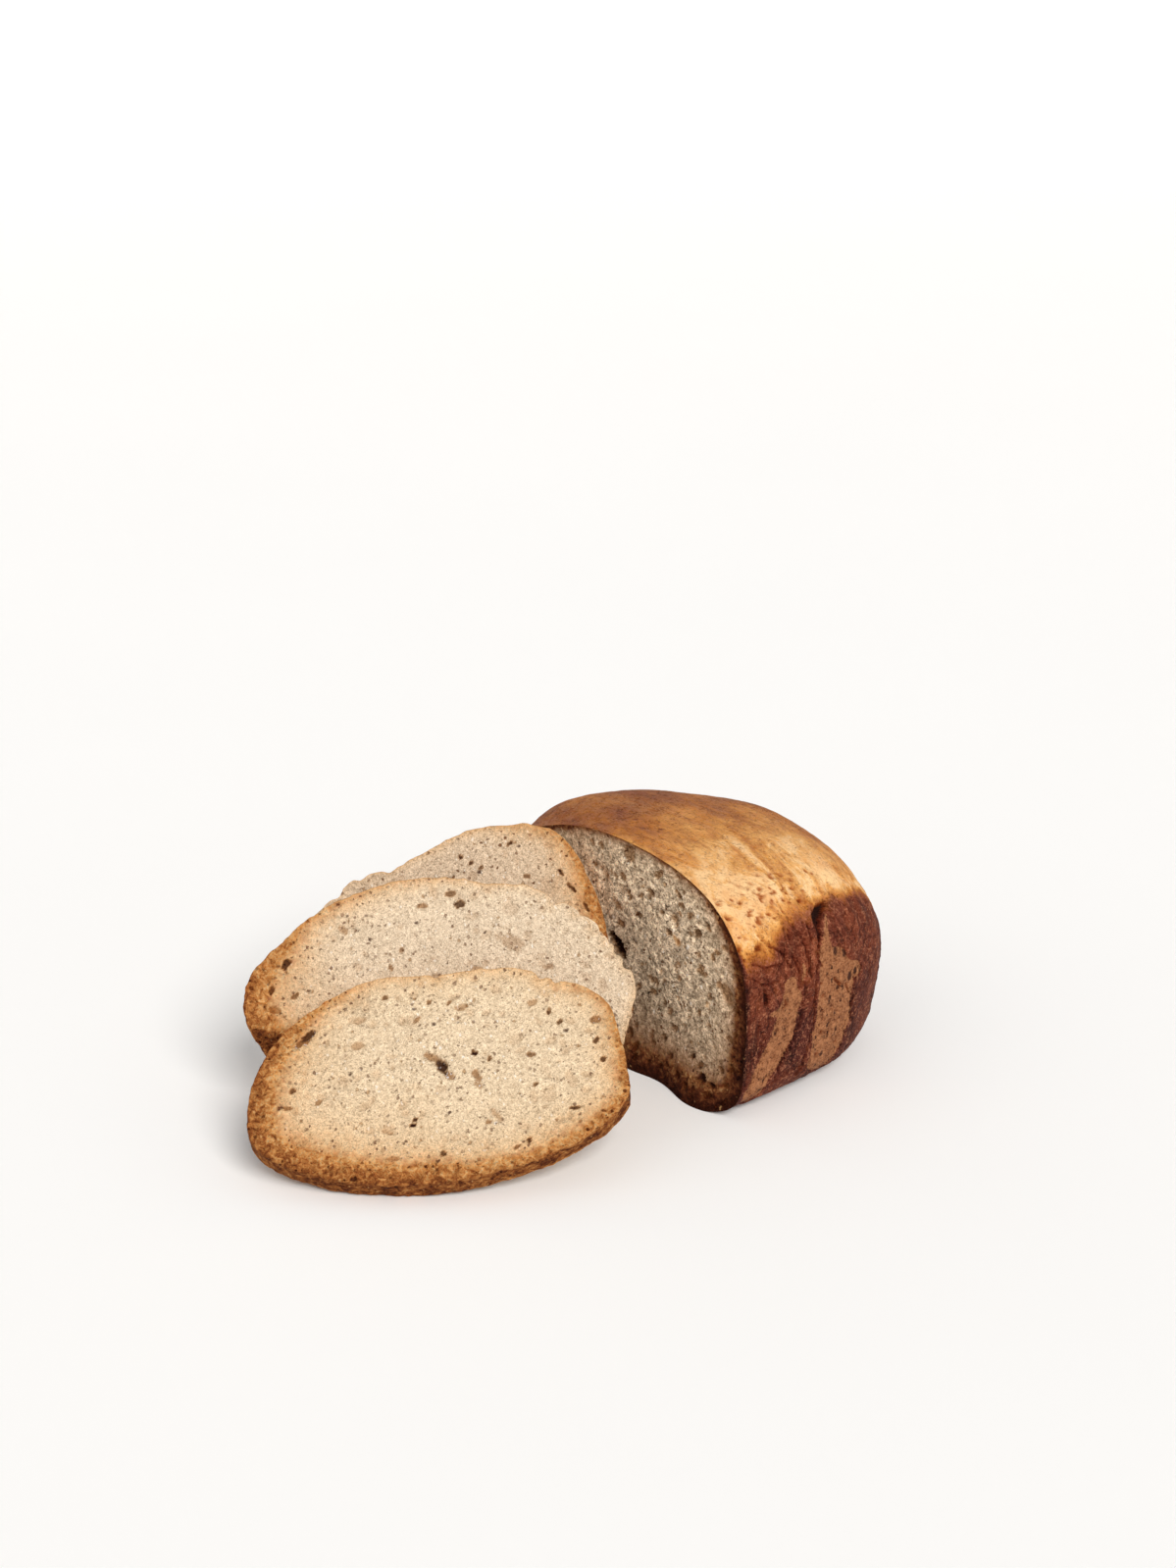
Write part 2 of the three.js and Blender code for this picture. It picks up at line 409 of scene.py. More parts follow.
def crust_finish(name):
    """The skin of a baked loaf. The marks are bake, 0 for pale gold to 1 for dark brown; lean,
    1 on the tan patches where the skin stayed thin; flour, 1 under dusted flour; and a mark of
    painted shade, 1 in cracks, pits and creases, which darkens them."""
    finish = Finish(name)
    bake = finish.mark("bake")
    patch = finish.mark("lean")
    flour = finish.mark("flour")
    scorch = finish.mark("scorch")
    torn = finish.wander(800, 0.0018)
    clouds = finish.noise(42, 4.0)
    along_dome = finish.stretched((0.7, 2.0, 1.6), (0.0, 0.0, 0.6))
    streaks = finish.noise(60, 6.0, along_dome, 1.6)
    wisps = finish.noise(170, 6.0, along_dome, 2.6)
    curd = finish.noise(420, 5.0, warp=0.6)
    fine = finish.noise(1400, 3.0)
    grain = (curd - 0.5) * 3.2 + (fine - 0.5) * 3.4
    pale_part = (1 - bake * 1.4).clamp()
    tone = bake + (clouds - 0.5) * 0.7 + ((streaks - 0.5) * 1.5 + (wisps - 0.5) * 0.7) * pale_part
    tone = (tone + grain * (0.04 + 0.16 * bake)).clamp()
    stops = [
        (0.0, (0.97, 0.620, 0.305)),
        (0.18, (0.80, 0.390, 0.110)),
        (0.38, (0.50, 0.172, 0.031)),
        (0.62, (0.225, 0.054, 0.024)),
        (1.0, (0.055, 0.011, 0.007)),
    ]
    colour = finish.ramp(tone, stops)
    plum = finish.contrast(finish.noise(64, 5.0, warp=0.8), 0.50, 0.08)
    plum = (plum * (bake * 1.6 - 0.7)).clamp()
    colour = finish.mix(plum * 0.7, colour, (0.085, 0.020, 0.018))
    blush = finish.contrast(finish.noise(75, 3.0), 0.56, 0.09) * pale_part
    colour = finish.mix(blush * 0.45, colour, (0.72, 0.26, 0.055))
    ridge = (wisps - 0.5).most(0.5 - wisps)
    scratch = (1 - ridge * 26).clamp() * finish.contrast(streaks, 0.48, 0.10)
    dusting = (finish.contrast(wisps, 0.55, 0.09) * 0.6 + scratch).clamp() * flour
    colour = finish.mix(dusting.clamp() * 0.60, colour, (1.0, 0.66, 0.34))
    tan = finish.mix((grain * 0.7 + 0.5).clamp(), (0.240, 0.088, 0.036), (0.44, 0.190, 0.083))
    tall = finish.stretched((1.0, 1.0, 0.55), place=torn)
    pocks = finish.specks(290, -0.30, 0.38, 8.0, tall)
    pocks = pocks.most(finish.specks(600, -0.30, 0.38, 8.0, tall))
    tan = finish.mix(pocks * 0.92, tan, (0.040, 0.011, 0.007))
    thin = finish.contrast(patch + grain * 0.10, 0.5, 0.16)
    colour = finish.mix(thin * 0.95, colour, tan)
    # Thin crease lines on the dark wall, sunk a little and darkened with painted shade.
    fold = finish.noise(70, 4.0, finish.stretched((1.0, 1.0, 0.5)), 1.6)
    fold = (1 - (fold - 0.5).most(0.5 - fold) * 34).clamp() * (bake * 2.2 - 1.0).clamp() * (1 - thin)
    colour = finish.shade(fold * 0.75, colour, (0.42, 0.28, 0.26))
    pores = finish.specks(900, -0.35, 0.42, 6.0, torn)
    colour = finish.shade(pores * (0.05 + 0.65 * bake), colour, (0.42, 0.25, 0.19))
    fleck = grain * (1 - 0.6 * thin) * (0.22 + 0.85 * bake)
    colour = finish.shade((fleck * -2.4).clamp() * 0.95, colour, (0.38, 0.25, 0.20))
    colour = finish.mix((fleck * 1.9 - 0.25).clamp() * 0.34, colour, (0.85, 0.34, 0.17))
    freckle = finish.specks(170, -0.80, 0.17, 14.0, torn)
    colour = finish.mix(freckle * 0.75, colour, (0.20, 0.050, 0.022))
    # Painted shade in cracks, pits and creases: darker, and near black where deepest.
    colour = finish.mix((scorch * 2).clamp(), colour, finish.shade(1.0, colour, (0.50, 0.28, 0.18)))
    colour = finish.mix((scorch * 2 - 1).clamp(), colour, (0.020, 0.006, 0.004))
    height = curd * (0.5 + 1.0 * bake) + fine * 0.5 - pocks * thin * 0.9 - freckle * 0.4 - pores * 0.4
    height = height + wisps * pale_part * 0.5 - fold * 0.8
    return finish.close(colour, 0.55 + curd * 0.2, height, 0.0011, 0.07)


loaf_low, loaf_high = (np.array(corner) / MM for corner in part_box("loaf"))
LOAF_HALF_WIDTH = (loaf_high[0] - loaf_low[0]) / 2
LOAF_LENGTH = loaf_high[1] - loaf_low[1]
LEAN_RISE = 0.30  # how much the lean of the dome adds to its height, in mm
LOAF_HEIGHT = loaf_high[2] - LEAN_RISE
LOAF_SHOULDER = 35.7  # where it is widest
DOME_SQUARENESS = 2.8  # superellipse exponent above the shoulder
TIN_SQUARENESS = 6.0  # and below it
BASE_DROP = 1.4  # how far the lower curve runs on before the table cuts it flat
FLOOR_END_POWER = 0.42  # how late the lower edge lifts at the far end
WALL_TAPER = 0.022  # narrower at the floor of the tin
FAR_TAPER = 0.06  # share by which the lower wall narrows at the far end
FAR_TAPER_TOP, FAR_TAPER_SPAN = 46, 42  # height where it begins, and over how many mm
FAR_TAPER_FROM, FAR_TAPER_RUN = 48, 30  # distance from the cut, likewise
DOME_LEAN = -0.025  # the left of the dome is a little higher
END_SQUARENESS = 3.95  # plan of the far end
DOME_END_SQUARENESS = 2.95  # side view of the dome at the far end
DOME_SWELLINGS = [  # [across, distance from the cut, height in mm, width across, width along]
    [0.0, 76.8, 2.5, 20.0, 12.0],
    [44.6, 85.5, -4.0, 12.0, 15.0],
    [-41.9, 65.9, -2.3, 18.0, 14.0],
    [-48.0, 0.0, -5.6, 32.0, 9.5],
    [-58.0, 23.0, 2.0, 20.0, 16.0],
    [56.0, 0.0, 0.6, 16.0, 16.0],
]
SWELLING_ROOT = 20  # they fade in over so many mm above the shoulder
FOOT_BULGES = [[44.0, 4.6, 13.0], [10.0, 2.6, 10.0]]  # [across, how far out in mm, half width]
FOOT_HEIGHT, FOOT_DEPTH = 17, 18  # how far up and how far back the foot's bulges reach
FOOT_ROOM = 6  # how far the foot may stand out of the CAD loaf's own box
LOAF_ACROSS, LOAF_UP = 172, 110  # cells of the cut face
LOAF_RINGS = 136  # rings of skin along the loaf
RING_CROWDING = 1.55  # above 1, the rings crowd towards the far end
FINE_STEPS = 8000  # steps round the section from which even ones are picked
RING_START = 222  # degrees round the section to the lower left corner of the cut face


def loaf_skin(angle, along):
    """A point of the loaf: half a tall superellipse above the shoulder and half a squarer one
    below it, both shrinking along the loaf as (1 - along^n)^(1/n) to a pole at the far end. The
    dome has swellings of height * exp(-(dx / width)^2 - (dy / length)^2)."""
    cosine, sine = np.cos(angle), np.sin(angle)
    power = 2 / np.where(sine >= 0, DOME_SQUARENESS, TIN_SQUARENESS)
    plan = (1 - along**END_SQUARENESS) ** (1 / END_SQUARENESS)
    dome = (1 - along**DOME_END_SQUARENESS) ** (1 / DOME_END_SQUARENESS)
    upper = (LOAF_HEIGHT - LOAF_SHOULDER) * dome
    lower = (LOAF_SHOULDER + BASE_DROP) * plan**FLOOR_END_POWER
    above = np.where(sine >= 0, upper, lower) * np.sign(sine) * np.abs(sine) ** power
    taper = 1 + WALL_TAPER * np.minimum(above / LOAF_SHOULDER, 0)
    x = LOAF_HALF_WIDTH * np.sign(cosine) * np.abs(cosine) ** power * taper * plan
    y = along * LOAF_LENGTH + 0 * x
    for across, away, height, width, length in DOME_SWELLINGS:
        swelling = height * np.exp(-(((x - across) / width) ** 2) - ((y - away) / length) ** 2)
        above = above + swelling * np.clip(above / SWELLING_ROOT, 0, 1)
    z = np.maximum(LOAF_SHOULDER + above, 0)
    narrowing = smooth((FAR_TAPER_TOP - z) / FAR_TAPER_SPAN)
    narrowing = FAR_TAPER * narrowing * smooth((y - FAR_TAPER_FROM) / FAR_TAPER_RUN)
    x = x * (1 - narrowing)
    return np.stack([x, y, z + DOME_LEAN * x * z / LOAF_HEIGHT], -1)


# Tan patches, cracks and pits of the right wall: [distance from the cut, height, half width].
THIN_SKIN = [
    [[21.5, 46.0, 3.2], [22.0, 40.0, 5.2], [19.8, 34.5, 5.4], [18.0, 27.5, 5.8], [13.5, 21.0, 5.6],
     [9.5, 15.0, 5.0], [7.5, 8.0, 4.4]],
    [[19.0, 38.6, 2.2], [13.6, 38.0, 1.2]],
    [[28.2, 53.0, 0.3], [28.7, 49.5, 1.1], [27.6, 45.5, 0.3]],
    [[44.6, 64.0, 0.5], [41.0, 57.0, 1.4], [40.2, 51.5, 3.6], [43.5, 45.5, 7.6], [45.5, 39.0, 9.6],
     [44.2, 33.0, 8.6], [45.4, 26.0, 9.4], [42.6, 20.0, 9.2], [40.8, 13.0, 7.6]],
    [[50.0, 42.0, 4.0], [55.8, 41.0, 3.4]],
]
CRACKS = [  # and how deep, in mm
    ([[46.0, 66.8, 0.7], [42.3, 66.0, 1.5], [39.4, 64.6, 1.4], [38.6, 60.5, 1.0], [38.2, 57.2, 0.7],
      [36.0, 52.0, 0.4]], 2.6),
    ([[36.6, 54.0, 0.35], [35.0, 47.0, 0.35], [34.2, 41.0, 0.4], [33.8, 35.0, 0.45],
      [34.6, 28.5, 0.4], [32.6, 23.0, 0.4], [30.6, 16.0, 0.3], [27.5, 9.0, 0.3]], 1.1),
    ([[28.6, 45.5, 0.3], [28.2, 38.5, 0.35], [26.6, 31.5, 0.3], [23.4, 24.5, 0.3],
      [18.2, 17.0, 0.25], [14.6, 9.0, 0.2]], 0.7),
    ([[24.6, 64.4, 0.3], [23.6, 61.4, 0.4]], 0.9),
    ([[34.4, 64.2, 0.3], [33.4, 58.4, 0.4]], 1.0),
    ([[31.0, 62.0, 0.25], [30.4, 57.5, 0.3]], 0.6),
    ([[23.6, 56.0, 0.4], [26.4, 49.0, 0.35], [26.0, 46.4, 0.3]], 0.9),
    ([[25.4, 55.0, 0.3], [28.0, 50.5, 0.2]], 0.6),
    ([[5.0, 58.5, 0.2], [11.0, 55.5, 0.35], [17.0, 55.0, 0.3]], 0.7),
    ([[4.0, 53.5, 0.2], [9.0, 50.0, 0.35], [14.5, 49.5, 0.3]], 0.7),
    ([[14.0, 62.0, 0.2], [19.0, 59.0, 0.35], [22.0, 52.5, 0.3]], 0.8),
    ([[29.5, 59.0, 0.25], [31.2, 52.5, 0.4], [32.0, 46.0, 0.3]], 0.9),
    ([[6.0, 36.0, 0.2], [9.0, 30.0, 0.35], [7.0, 23.0, 0.25]], 0.6),
    ([[9.7, 48.0, 0.6], [9.6, 43.6, 0.9]], 2.2),
    ([[19.4, 41.4, 0.3], [19.9, 39.4, 0.5], [18.0, 38.6, 0.2]], 0.7),
    ([[44.2, 41.4, 0.4], [47.2, 38.4, 0.7]], 1.0),
    ([[50.6, 37.0, 0.3], [52.4, 33.6, 0.4]], 0.9),
    ([[55.0, 33.0, 0.25], [54.2, 27.5, 0.4]], 0.7),
]
PITS = [  # [distance from the cut, height, radius]
    [27.8, 74.6, 0.7], [27.0, 75.6, 0.5], [23.8, 73.0, 0.6], [30.2, 70.8, 0.8], [39.0, 72.0, 0.6],
    [35.2, 70.4, 0.9], [14.9, 71.6, 0.5], [9.7, 69.6, 0.5], [11.5, 68.8, 0.4], [3.3, 67.2, 0.4],
    [48.9, 74.2, 0.7], [46.8, 75.4, 0.6], [33.6, 72.6, 0.5], [31.4, 73.2, 0.5], [28.6, 72.0, 0.6],
    [37.4, 48.6, 0.9], [37.1, 42.0, 0.9], [38.2, 37.0, 0.8], [39.6, 44.6, 0.5], [37.1, 14.0, 0.9],
    [46.6, 15.9, 0.7], [38.5, 22.6, 0.9], [38.2, 31.0, 0.7], [38.9, 27.5, 0.7], [43.2, 30.0, 0.5],
    [2.6, 77.5, 0.6], [8.3, 76.3, 0.5], [17.6, 69.8, 0.5], [21.0, 68.6, 0.6], [25.6, 69.4, 0.5],
]
BAKE_LINE_Y = [0, 8, 16, 23, 30, 38, 47, 53, 62, 72, 82]  # along the right wall, in mm
BAKE_LINE_Z = [61, 61, 63.5, 66, 67, 68.5, 69, 68, 65, 59, 53]  # height where gold turns brown
BAKE_SPREAD = [20, 20, 19, 17, 15, 12, 9, 8, 9, 10, 12]  # over how many mm it does so

loaf_ring_count = 2 * (LOAF_ACROSS + LOAF_UP)
fine_angles = 2 * np.pi * (np.arange(FINE_STEPS) + 0.5) / FINE_STEPS
fine_section = loaf_skin(fine_angles, 0 * fine_angles)
first = int(np.argmin(np.abs(fine_angles - math.radians(RING_START))))
picked = even_ring(fine_section, loaf_ring_count, first)
loaf_angles = fine_angles[0] + picked * 2 * np.pi / FINE_STEPS
stations = np.linspace(0, 1, LOAF_RINGS + 1)[:-1]
stations = 1 - (1 - stations) ** RING_CROWDING
skin = loaf_skin(loaf_angles[None, :], stations[:, None])
pole = loaf_skin(np.array([0.0]), np.array([1.0]))
around = np.roll(skin, -1, 1) - np.roll(skin, 1, 1)
lengthwise = np.gradient(skin, axis=0)
outward = np.cross(around, lengthwise)
outward = outward / (np.linalg.norm(outward, axis=-1, keepdims=True) + 1e-9)
outward *= np.sign((outward * (skin - [0, LOAF_LENGTH * 0.45, LOAF_SHOULDER])).sum(-1, keepdims=True))

sx, sy, sz = skin[..., 0], skin[..., 1], skin[..., 2]
warped = skin + 1.1 * np.stack([rough(skin, 5.0, seed, 3) for seed in (11, 12, 13)], -1)
wy, wz = warped[..., 1], warped[..., 2]
on_right = smooth((sx - 38) / 6) * smooth((84 - sy) / 8)
elsewhere = 1 - on_right
bottom = smooth((1.5 - sz) / 1.5)

# Gold above the tin's rim and brown below it, with a wandering line between.
bake_height = np.interp(wy, BAKE_LINE_Y, BAKE_LINE_Z)
bake_height += (1 - on_right) * 4.0 * rough(skin * [1, 1, 0.3], 26, 21, 2)
spread = np.interp(wy, BAKE_LINE_Y, BAKE_SPREAD)
bake = smooth((bake_height + spread * 0.50 - sz + 4.5 * rough(skin, 7, 22, 4)) / spread)
bake = bake * (0.89 - 0.14 * smooth((sz - 26) / 22) + 0.20 * rough(skin * [1, 1, 0.5], 12, 23, 3))
bake = np.maximum(bake, smooth((4.0 - sz) / 4) * 0.95)
dome_brown = 0.03 + 0.49 * smooth((54 - sx + 0.25 * sy) / 85) + 0.12 * rough(skin, 18, 24, 3)
bake = np.maximum(bake, dome_brown * smooth((sz - 55) / 15))
knife_edge = smooth((2.4 - sy + 0.8 * rough(skin, 3, 25, 2)) / 2.0) * smooth((70 - sz) / 12)
bake = np.maximum(bake, knife_edge)

# Thin skin: the drawn patches on the right, and slanting ones from noise on the other walls.
patch_depth = np.max([stroke(wy, wz, path) for path in THIN_SKIN], axis=0)
drawn = smooth(patch_depth / 0.9 + 0.5) * on_right
slanted = np.stack([sx + 0.25 * sz, sy + 0.3 * sz, 0.32 * sz], -1)
found = smooth((rough(slanted, 17, 31, 3) - 0.10) * 9) * smooth((58 - sz) / 8) * smooth((sz - 5) / 5)
lean = np.maximum(drawn, found * elsewhere) * (1 - bottom)

# Cracks, pits, flecks and creases are pressed in along the skin's normal, and a second mark paints shade
# in them.
sink = np.zeros_like(sx)
scorch = np.zeros_like(sx)
jitter = 0.16 * rough(skin, 1.7, 41, 2)
for path, depth in CRACKS:
    inside = stroke(sy + 0.5 * rough(skin, 4, 42), sz, path) + jitter
    sink = np.maximum(sink, depth * smooth(inside / 0.9 + 0.55) * on_right)
    scorch = np.maximum(scorch, min(1.0, 0.35 + depth * 0.35) * smooth(inside / 0.6 + 0.6) * on_right)
for y, z, radius in PITS:
    inside = 1 - np.hypot((sy - y) / 1.2, sz - z) / radius + 2 * jitter
    sink = np.maximum(sink, 0.9 * radius * smooth(inside) * on_right)
    scorch = np.maximum(scorch, 0.75 * smooth(inside * 1.4) * on_right)
pitted = smooth((sz - 56) / 6) * smooth((82 - sz) / 6) * smooth((44 - sy) / 10) * on_right
crinkle = rough(np.stack([sx, sy + 0.5 * sz, 0.7 * sz - 0.5 * sy], -1), 2.6, 45, 3)
flecks = smooth((np.abs(crinkle) - 0.30) * 6) * smooth((rough(skin, 8, 47, 2) + 0.20) * 3)
sink = np.maximum(sink, 0.8 * flecks * pitted)
scorch = np.maximum(scorch, 0.62 * flecks * pitted)
creases = 1 - np.abs(rough(np.stack([sx, sy, sz * 0.28], -1), 13, 43, 3)) * 6
found_cracks = smooth(creases) * smooth((rough(skin, 22, 44) - 0.05) * 4) * elsewhere
found_cracks = found_cracks * smooth((56 - sz) / 14) * smooth((sz - 4) / 5)
sink = np.maximum(sink, 0.9 * found_cracks)
scorch = np.maximum(scorch, 0.50 * found_cracks)

# Swellings of the wall between the creases, wrinkles of the dome and the grain of the crust.
ripple = np.sin((sy + 1.5 * rough(skin, 9, 51)) * 2 * np.pi / 8.5)
shoulder_band = smooth((sz - 52) / 8) * smooth((80 - sz) / 8)
wall = smooth((66 - sz) / 14)
swell = -0.55 * rough(skin, 34, 52, 2) * smooth((sz - 2) / 8)
wrinkle = 0.35 * np.abs(rough(skin * [0.5, 1.5, 1.2], 7, 53, 3)) * (1 - wall)
grain = -(0.10 + 0.34 * wall) * rough(skin, 2.6, 54, 3)
relief = swell + wrinkle + grain + sink + 0.26 * ripple * shoulder_band * on_right
relief += 0.45 * lean * wall + 0.35 * smooth(1 - np.abs(patch_depth) / 0.7) * on_right * wall
relief *= 1 - bottom
relief[0] *= 0.35
skin = skin - outward * relief[..., None]
skin[..., 1] = np.maximum(skin[..., 1], 0)
skin[0, :, 1] = 0
flour = smooth((sz - 62) / 10) * (0.55 + 0.45 * rough(skin * [0.6, 1.4, 1], 18, 55, 2)) * (1 - bake)

CUT_EDGE = [  # [direction in degrees, how far browning reaches in mm, how dark]
    [0, 4.8, 1.0], [25, 3.4, 0.90], [40, 2.6, 0.55], [70, 2.3, 0.40], [100, 2.8, 0.40],
    [140, 3.2, 0.50], [180, 4.0, 1.0], [225, 6.0, 1.0], [270, 7.0, 1.0], [320, 8.0, 1.0],
    [345, 5.6, 1.0], [360, 4.8, 1.0],
]
# In the holes below, how dark is the strength of the painted shade inside each hole.
CUT_HOLES = [  # [across, up, half length, half width, tilt in degrees, depth, how dark, how floury]
    # This hole, where the slices meet the cut face, is painted near black as their shadow.
    [0.2, 44.5, 5.6, 2.7, -38, 4.0, 1.0, 0],
    [6.6, 67.0, 1.5, 1.0, 20, 1.6, 0.75, 0],
    [18.0, 70.7, 2.1, 1.4, -10, 2.0, 0.85, 0],
    [32.0, 74.6, 2.0, 1.0, -30, 1.6, 0.75, 0],
    [33.6, 71.0, 1.6, 1.1, 10, 1.5, 0.70, 0],
    [42.6, 63.3, 1.9, 1.3, 60, 1.8, 0.70, 0],
    [47.4, 67.5, 1.8, 1.2, -40, 1.6, 0.60, 0],
    [27.8, 58.8, 2.0, 1.2, 10, 1.6, 0.65, 0],
    [20.9, 77.6, 1.7, 0.9, -15, 1.4, 0.70, 0],
    [12.0, 60.0, 1.4, 1.0, 0, 1.4, 0.60, 0],
    [38.0, 68.5, 1.5, 1.0, 35, 1.4, 0.60, 0],
    [50.0, 57.0, 1.6, 1.1, 70, 1.5, 0.65, 0],
    [53.0, 48.0, 1.5, 1.0, 80, 1.5, 0.60, 0],
    [24.0, 65.0, 1.3, 0.9, 0, 1.3, 0.60, 0],
    [46.9, 10.2, 2.0, 1.5, 0, 2.0, 0.95, 0],
    [51.9, 9.6, 1.6, 1.0, 0, 1.6, 0.90, 0],
    [41.0, 16.0, 1.3, 0.9, 30, 1.4, 0.80, 0],
    [30.0, 12.0, 1.2, 0.9, -20, 1.3, 0.70, 0],
]
ORANGE_BITS = [[32.4, 56.7, 2.0], [30.6, 58.0, 1.2], [47.7, 38.5, 1.3]]  # [across, up, radius]


def carve(plane, holes, seed):
    """The drawn holes of a cut: how deep each point lies in mm, how much painted shade darkens it,
    and how floury. A hole is an ellipse with a torn edge, deep * sqrt(1 - (distance / radius)^2)."""
    flat = in_space(plane)
    uneven = 0.65 * rough(flat, 1.5, seed, 2) + 0.45 * rough(flat, 3.5, seed + 2, 2)
    depth = np.zeros(len(plane))
    hollow = np.zeros(len(plane))
    floury = np.zeros(len(plane))
    for u, v, long, wide, tilt, deep, dark, white in holes:
        du, dv = plane[:, 0] - u, plane[:, 1] - v
        cosine, sine = math.cos(math.radians(tilt)), math.sin(math.radians(tilt))
        reach = np.hypot((du * cosine + dv * sine) / long, (dv * cosine - du * sine) / wide)
        inside = np.clip(1.15 - reach**2 + uneven * (reach < 1.6), 0, 1)
        depth = np.maximum(depth, deep * np.sqrt(inside))
        hollow = np.maximum(hollow, dark * smooth(inside * 2.6))
        floury = np.maximum(floury, white * smooth(inside * 2))
    return depth, hollow, floury


def crumb_relief(plane, rim, seed, coarse, hole_shade_strength):
    """How deep the cut crumb lies under the knife's plane, in mm, and the painted shade in its deeper
    bubbles: a slow wave, a torn grain, and three sizes of cut bubble that thin out towards the crust."""
    flat = in_space(plane)
    inner = smooth(rim / 3.0)
    wave = 0.12 * (1 - rough(flat, 15, seed, 2))
    torn = 0.15 * coarse * (1 - rough(flat, 1.3, seed + 1, 2))
    tiny = bubbles(plane, 1.7, seed + 2, 0.7)
    small = bubbles(plane, 3.4, seed + 3, 0.45) * inner
    medium = bubbles(plane, 8.5, seed + 4, 0.22) * inner
    depth = wave + torn + coarse * (0.35 * tiny + 0.85 * small + medium)
    hollow = np.maximum(np.maximum(0.6 * tiny, 1.1 * small), 0.8 * medium)
    return depth, hole_shade_strength * smooth((hollow - 0.44) / 0.18)


def toasting(plane, rim, centre, edge, seed):
    """How baked the crumb is, from 0 to 1: dark at the crust and fading inwards over a reach
    that changes with direction, exp(-(distance / reach)^1.3)."""
    direction = np.degrees(np.arctan2(plane[:, 1] - centre[1], plane[:, 0] - centre[0])) % 360
    angles, reaches, darks = np.array(edge).T
    flat = in_space(plane)
    reach = np.interp(direction, angles, reaches)
    near = 0.9 * rough(flat, 2.6, seed, 3) + 0.5 * rough(flat, 9.0, seed + 3, 2)
    dark = np.interp(direction, angles, darks)
    gap = np.maximum(rim + near * smooth(rim / 1.5), 0)
    faint = 0.20 * np.exp(-((gap / (3.8 * reach)) ** 1.5))
    return dark * (0.80 * np.exp(-((gap / reach) ** 1.3)) + faint)


cut_sheet = coons(skin[0], LOAF_ACROSS, LOAF_UP)
cut_plane = cut_sheet[..., [0, 2]].reshape(-1, 2)
cut_rim = nearest(cut_plane, skin[0][:, [0, 2]])
# Besides the crumb's depth, its bubbles and the drawn holes give painted shade inside them.
cut_depth, cut_hole_shade = crumb_relief(cut_plane, cut_rim, 61, 1.25, 0.48)
hole_depth, hole_painted_shade, _ = carve(cut_plane, CUT_HOLES, 68)
cut_depth = np.maximum(cut_depth * smooth(cut_rim / 1.2), hole_depth)
cut_hole_shade = np.maximum(cut_hole_shade, hole_painted_shade)
cut_toast = toasting(cut_plane, cut_rim, (0, 40), CUT_EDGE, 67)
# Painted shade: the cut face darker and browner towards its bottom and its left, behind the slices.
cut_low_shade = smooth((48 - cut_plane[:, 1] - 0.22 * cut_plane[:, 0]) / 55)
cut_low_shade += 0.5 * smooth((20 - cut_plane[:, 0]) / 50) * smooth((70 - cut_plane[:, 1]) / 40)
cut_low_shade = np.clip(cut_low_shade, 0, 1)
cut_golden = np.zeros(len(cut_plane))
for u, v, radius in ORANGE_BITS:
    gap = np.hypot(cut_plane[:, 0] - u, cut_plane[:, 1] - v)
    cut_golden = np.maximum(cut_golden, 0.8 * smooth(2.2 * (1 - gap / radius)))
cut_sheet[..., 1] += cut_depth.reshape(cut_sheet.shape[:2])

skin_count = skin.shape[0] * loaf_ring_count
pole_index = skin_count
inner_start = skin_count + 1
skin_index = wrapped(np.arange(skin_count).reshape(skin.shape[0], loaf_ring_count))
skin_faces = squares(skin_index)[:, ::-1]
last_ring = skin_index[-1]
pole_faces = np.stack([last_ring[1:], last_ring[:-1], np.full(loaf_ring_count, pole_index)], -1)
cut_index = sheet_index(LOAF_ACROSS, LOAF_UP, 0, inner_start)
cut_faces = squares(cut_index)
inside_sheet = (slice(1, -1), slice(1, -1))
loaf_points = np.concatenate([skin.reshape(-1, 3), pole, cut_sheet[inside_sheet].reshape(-1, 3)])
# The foot of the cut face bulges forward where the knife left it.
foot = smooth((FOOT_HEIGHT - loaf_points[:, 2]) / FOOT_HEIGHT)
foot = foot * smooth((FOOT_DEPTH - loaf_points[:, 1]) / FOOT_DEPTH)
for across, reach, width in FOOT_BULGES:
    loaf_points[:, 1] -= reach * foot * np.exp(-(((loaf_points[:, 0] - across) / width) ** 2))
loaf_points[:, 1] += loaf_low[1]
loaf_points = np.clip(loaf_points, loaf_low - [0, FOOT_ROOM, 0], loaf_high)


def both(skin_values, sheet_values, on_pole):
    """One mark for the whole loaf: its skin's values, the pole's, and those inside the cut."""
    sheet_values = sheet_values.reshape(LOAF_UP + 1, LOAF_ACROSS + 1)[inside_sheet]
    return np.concatenate([skin_values.ravel(), [on_pole], sheet_values.ravel()])


none_on_skin = np.zeros(skin.shape[:2])
none_on_cut = np.zeros(len(cut_plane))
cut_edge_toast = np.zeros(skin.shape[:2])
cut_edge_toast[0] = toasting(skin[0][:, [0, 2]], np.zeros(loaf_ring_count), (0, 40), CUT_EDGE, 67)
loaf_marks = {
    "bake": both(bake, none_on_cut, 0.6),
    "lean": both(lean, none_on_cut, 0),
    "flour": both(flour, none_on_cut, 0),
    "scorch": both(scorch, none_on_cut, 0),
    "toast": both(cut_edge_toast, cut_toast, 0),
    "hollow": both(none_on_skin, cut_hole_shade, 0),
    "golden": both(none_on_skin, cut_golden, 0),
    "dense": both(none_on_skin, cut_low_shade, 0),
    "floury": both(none_on_skin, none_on_cut, 0),
}
loaf_faces = np.concatenate([skin_faces, cut_faces])
